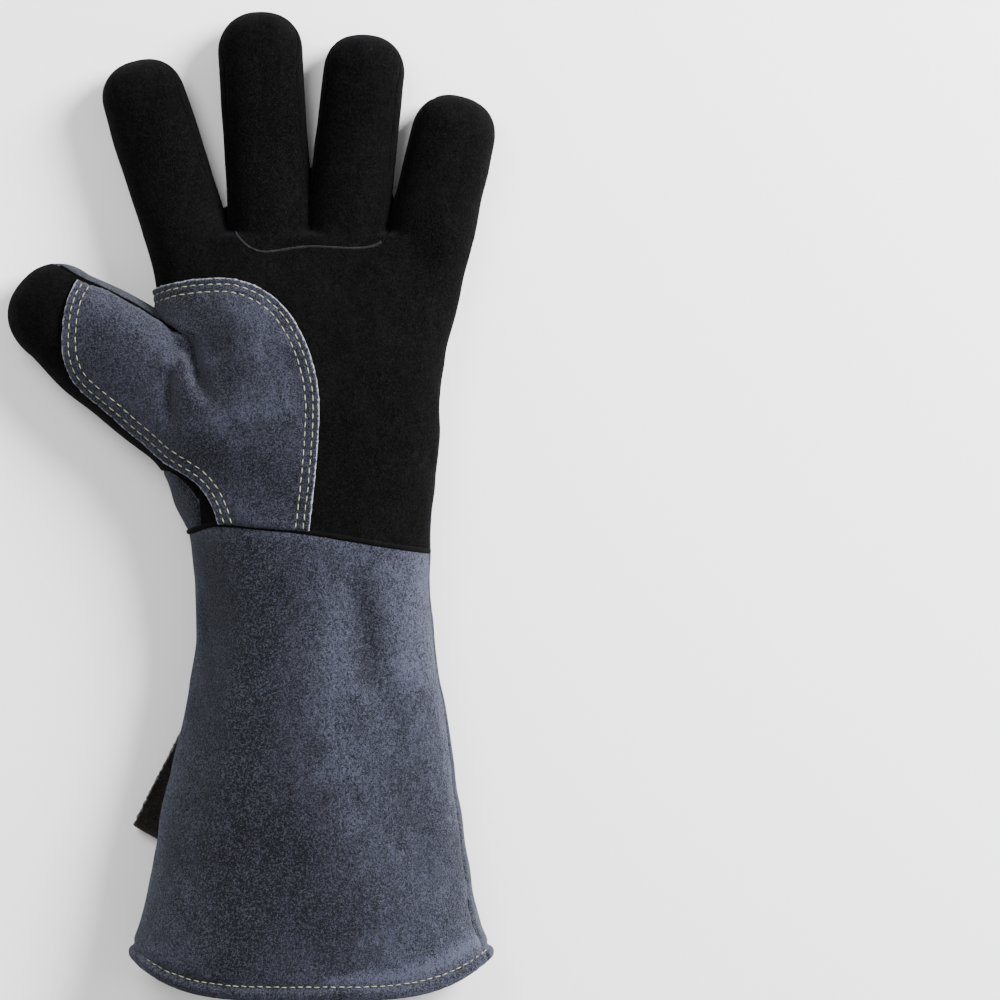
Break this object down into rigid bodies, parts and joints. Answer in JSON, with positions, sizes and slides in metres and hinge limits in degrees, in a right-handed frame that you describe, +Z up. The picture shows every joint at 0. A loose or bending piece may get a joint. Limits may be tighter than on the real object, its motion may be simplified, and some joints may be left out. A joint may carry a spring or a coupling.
{
  "type": "welding gauntlet",
  "caption": "Long left-hand leather welding gauntlet with spread fingers, a flared cuff, a thumb patch and a hanging loop, lying palm up.",
  "frame": {"origin": "middle of the bottom of the glove's box, on the surface that it lies on", "axes": "+X across the glove away from the thumb, +Y along the glove from the hem to the fingertips, +Z up from the surface towards the palm's face"},
  "size_m": [0.2016, 0.4062, 0.0501],
  "materials": {
    "suede": "napped blue-grey split leather",
    "patch_suede": "napped blue-grey split leather",
    "black_split": "black split leather with a short nap",
    "piping": "smooth black piping",
    "strap": "dark split leather strap with raw edges"
  },
  "bodies": {
    "root": {"back_panel": "suede", "cuff_back": "suede", "palm_panel": "black_split", "two_finger_panel": "black_split", "fourchette_index_middle": "black_split", "fourchette_middle_ring": "black_split", "fourchette_ring_little": "black_split", "thumb_front": "black_split", "thumb_back": "suede", "thumb_patch": "patch_suede", "cuff_front": "suede", "wrist_welt": "piping", "thumb_side_welt": "piping", "far_side_welt": "piping", "hanging_loop": "strap"}
  },
  "joints": []
}
